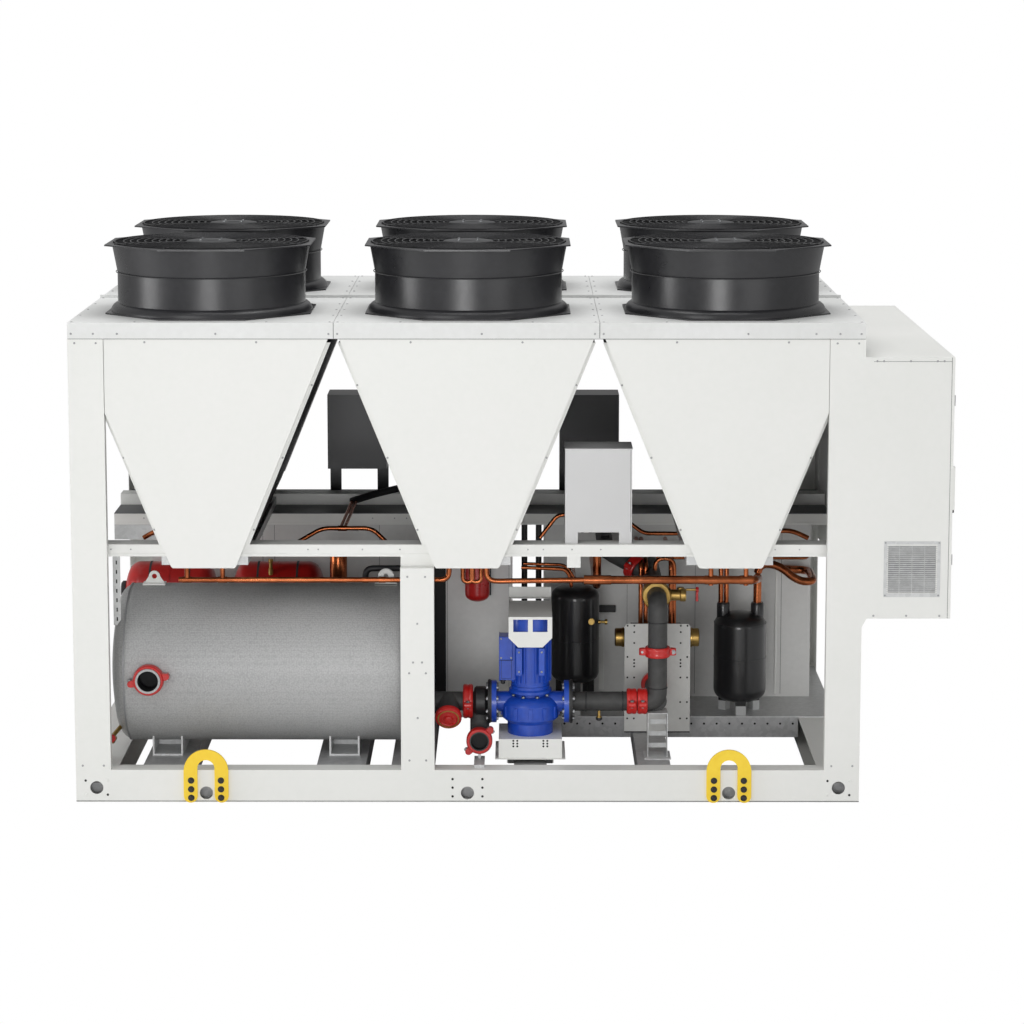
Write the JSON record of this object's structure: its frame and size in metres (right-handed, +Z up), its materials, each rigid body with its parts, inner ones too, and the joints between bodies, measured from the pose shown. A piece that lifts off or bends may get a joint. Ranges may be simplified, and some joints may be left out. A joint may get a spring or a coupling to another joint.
{
  "type": "air to water heat pump",
  "caption": "Modular air to water heat pump: sheet-steel frame with V-shaped coils, roof fans, lying water tank, pump, pipework and end cabinet",
  "frame": {"origin": "middle of the bounding box, on the ground", "axes": "X along the unit towards the electrical cabinet, Y from front to back, Z up"},
  "size_m": [3.98, 2.224, 2.526],
  "materials": {
    "black_paint": "satin",
    "black_wire": "satin coated wire",
    "blue_paint": "satin",
    "copper": "bare copper",
    "dark_fins": "coated fins",
    "dark_grey_paint": "satin",
    "dark_plastic": "satin moulding",
    "galvanised_steel": "dull galvanised",
    "grey_foam": "embossed foam jacket",
    "light_grey_paint": "satin powder coat",
    "motor_grey": "satin",
    "red_paint": "satin",
    "white_paint": "satin powder coat",
    "yellow_paint": "satin"
  },
  "bodies": {
    "unit": {"base_crossbeams": "galvanised_steel", "base_rails_end": "white_paint", "base_rails_long": "white_paint", "cabinet_door": "white_paint", "cabinet_vent": "white_paint", "centre_posts": "white_paint", "coil_end_plates": "white_paint", "coil_pair_1": "dark_fins", "coil_pair_2": "dark_fins", "coil_pair_3": "dark_fins", "compartment_lid": "galvanised_steel", "compressor_housings": "light_grey_paint", "control_boxes": "light_grey_paint", "copper_pipes": "copper", "corner_posts": "white_paint", "deck_rails": "white_paint", "drip_trays": "galvanised_steel", "electrical_cabinet": "white_paint", "expansion_vessels": "red_paint", "fan_guards": "black_wire", "fan_motors": "motor_grey", "fan_shroud_1": "dark_plastic", "fan_shroud_2": "dark_plastic", "fan_shroud_3": "dark_plastic", "fan_shroud_4": "dark_plastic", "fan_shroud_5": "dark_plastic", "fan_shroud_6": "dark_plastic", "heat_exchanger": "galvanised_steel", "insulated_pipes": "black_paint", "lifting_lugs": "yellow_paint", "machine_shelf": "galvanised_steel", "middle_beams": "galvanised_steel", "pipe_couplings": "red_paint", "pipe_supports": "galvanised_steel", "pump_casing": "blue_paint", "pump_hood": "white_paint", "pump_motor": "blue_paint", "pump_stand": "white_paint", "refrigerant_vessels": "black_paint", "roof_panels_back": "white_paint", "roof_panels_front": "white_paint", "roof_ridge": "white_paint", "storage_tank": "grey_foam", "tank_eyes": "white_paint", "tank_saddles": "galvanised_steel", "v_panel_back_1": "white_paint", "v_panel_back_2": "white_paint", "v_panel_back_3": "white_paint", "v_panel_front_1": "white_paint", "v_panel_front_2": "white_paint", "v_panel_front_3": "white_paint", "vessel_stand": "white_paint", "vessel_stand_legs": "white_paint", "water_pipes": "dark_grey_paint"},
    "fan_1": {"fan_impeller_1": "dark_plastic"},
    "fan_2": {"fan_impeller_2": "dark_plastic"},
    "fan_3": {"fan_impeller_3": "dark_plastic"},
    "fan_4": {"fan_impeller_4": "dark_plastic"},
    "fan_5": {"fan_impeller_5": "dark_plastic"},
    "fan_6": {"fan_impeller_6": "dark_plastic"}
  },
  "joints": [
    {"name": "fan_1_spin", "type": "hinge", "parent": "unit", "child": "fan_1", "pos_m": [-1.395, -0.55, 2.39], "axis": [0, 0, 1], "continuous": true},
    {"name": "fan_2_spin", "type": "hinge", "parent": "unit", "child": "fan_2", "pos_m": [-0.205, -0.55, 2.39], "axis": [0, 0, 1], "continuous": true},
    {"name": "fan_3_spin", "type": "hinge", "parent": "unit", "child": "fan_3", "pos_m": [0.985, -0.55, 2.39], "axis": [0, 0, 1], "continuous": true},
    {"name": "fan_4_spin", "type": "hinge", "parent": "unit", "child": "fan_4", "pos_m": [-1.395, 0.55, 2.39], "axis": [0, 0, 1], "continuous": true},
    {"name": "fan_5_spin", "type": "hinge", "parent": "unit", "child": "fan_5", "pos_m": [-0.205, 0.55, 2.39], "axis": [0, 0, 1], "continuous": true},
    {"name": "fan_6_spin", "type": "hinge", "parent": "unit", "child": "fan_6", "pos_m": [0.985, 0.55, 2.39], "axis": [0, 0, 1], "continuous": true}
  ]
}
